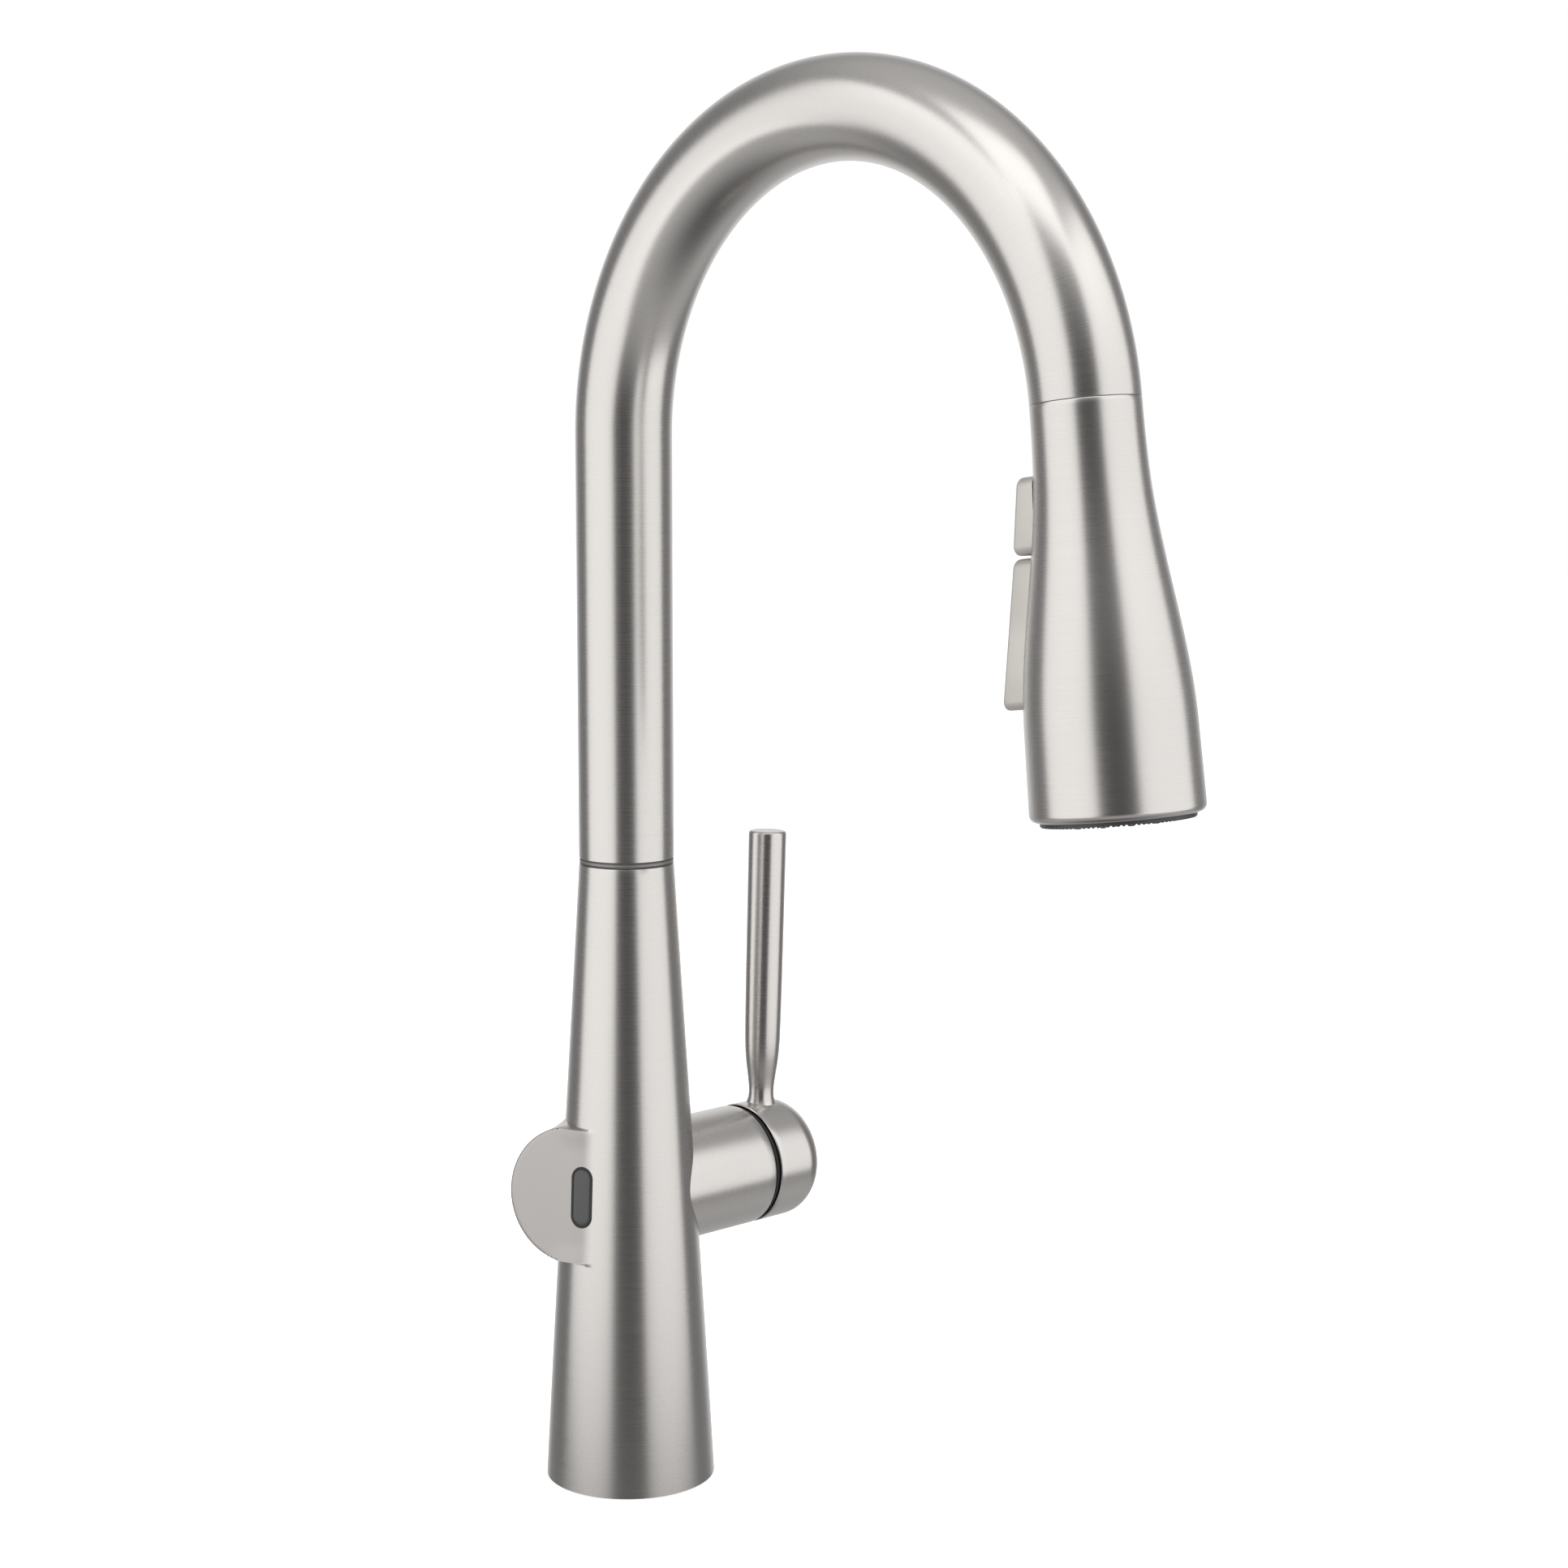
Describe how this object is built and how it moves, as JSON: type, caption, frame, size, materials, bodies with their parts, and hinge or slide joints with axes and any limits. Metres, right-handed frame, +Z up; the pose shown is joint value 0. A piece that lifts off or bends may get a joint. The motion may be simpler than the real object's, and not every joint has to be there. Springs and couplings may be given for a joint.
{
  "type": "pull-down kitchen faucet",
  "caption": "High-arc pull-down kitchen faucet with a tapered body, side lever valve, touchless sensor window and flared spray head with push buttons.",
  "frame": {"origin": "centre of the round base on the plane of the deck it stands on", "axes": "+Z up along the body, -Y towards the spray head and the user's sink, +X towards the lever"},
  "size_m": [0.0952, 0.2363, 0.4131],
  "materials": {
    "brushed_nickel": "brushed satin nickel, fine circumferential brushing",
    "button_nickel": "bead-blasted satin nickel",
    "brass": "machined, unplated",
    "steel": "plain stainless",
    "white_plastic": "moulded, matt",
    "dark_plastic": "moulded, matt",
    "seal_rubber": "matt",
    "nozzle_rubber": "soft, satin",
    "sensor_lens": "dark infrared window, glossy",
    "circuit_board": "solder mask",
    "magnet": "sintered",
    "hose_braid": "woven nylon braid over the tube"
  },
  "bodies": {
    "body": {"body_shell": "brushed_nickel", "base_gasket": "seal_rubber", "base_insert": "brass", "valve_block": "brass", "hot_inlet": "brass", "cold_inlet": "brass", "mixed_outlet": "brass", "swivel_hub": "white_plastic", "wear_ring": "dark_plastic", "sensor_window": "sensor_lens", "sensor_bezel": "seal_rubber", "sensor_case": "dark_plastic", "sensor_board": "circuit_board", "sensor_screw_top": "steel", "sensor_screw_bottom": "steel", "cartridge_body": "white_plastic", "cartridge_seal": "seal_rubber", "cartridge_nut": "brass", "bonnet_dome": "dark_plastic"},
    "valve_disc": {"cartridge_carrier": "white_plastic"},
    "handle": {"cartridge_stem": "steel", "handle_cap": "brushed_nickel", "handle_lever": "brushed_nickel", "set_screw": "steel", "screw_plug": "dark_plastic"},
    "spout": {"spout_tube": "brushed_nickel", "spout_adapter": "brass", "lower_o_ring": "seal_rubber", "upper_o_ring": "seal_rubber", "hose_guide": "white_plastic", "pull_out_hose": "hose_braid", "dock_socket": "dark_plastic", "dock_magnet": "magnet"},
    "hose_end": {"hose_connector": "brass", "connector_seal": "seal_rubber"},
    "head": {"head_shell": "brushed_nickel", "head_collar": "steel", "head_waterway": "white_plastic", "rim_ring": "dark_plastic", "nozzle_mat": "nozzle_rubber", "spray_plate": "dark_plastic", "aerator": "dark_plastic", "upper_spring": "steel", "lower_spring": "steel"},
    "upper_button": {"upper_button": "button_nickel"},
    "lower_button": {"lower_button": "button_nickel"}
  },
  "joints": [
    {"name": "spout_swivel", "type": "hinge", "parent": "body", "child": "spout", "pos_m": [0, 0, 0.187], "axis": [0, 0, 1], "range_deg": [-180, 180]},
    {"name": "handle_turn", "type": "hinge", "parent": "body", "child": "valve_disc", "pos_m": [0.0381, 0, 0.0874], "axis": [1, 0, 0], "range_deg": [-45, 45]},
    {"name": "handle_lift", "type": "hinge", "parent": "valve_disc", "child": "handle", "pos_m": [0.0381, 0, 0.0874], "axis": [0, 1, 0], "range_deg": [0, 20]},
    {"name": "head_pull", "type": "slide", "parent": "spout", "child": "hose_end", "axis": [0, -0.1201, -0.9928], "range_m": [0, 0.2]},
    {"name": "head_spin", "type": "hinge", "parent": "hose_end", "child": "head", "pos_m": [0, -0.17437, 0.32251], "axis": [0, -0.1201, -0.9928], "continuous": true},
    {"name": "upper_button_press", "type": "slide", "parent": "head", "child": "upper_button", "axis": [0, -0.9928, 0.1201], "range_m": [0, 0.0012], "stiffness_N_per_m": 1000, "springref_m": -0.001, "deforming": ["upper_spring"]},
    {"name": "lower_button_press", "type": "slide", "parent": "head", "child": "lower_button", "axis": [0, -0.9928, 0.1201], "range_m": [0, 0.0012], "stiffness_N_per_m": 1000, "springref_m": -0.001, "deforming": ["lower_spring"]}
  ]
}
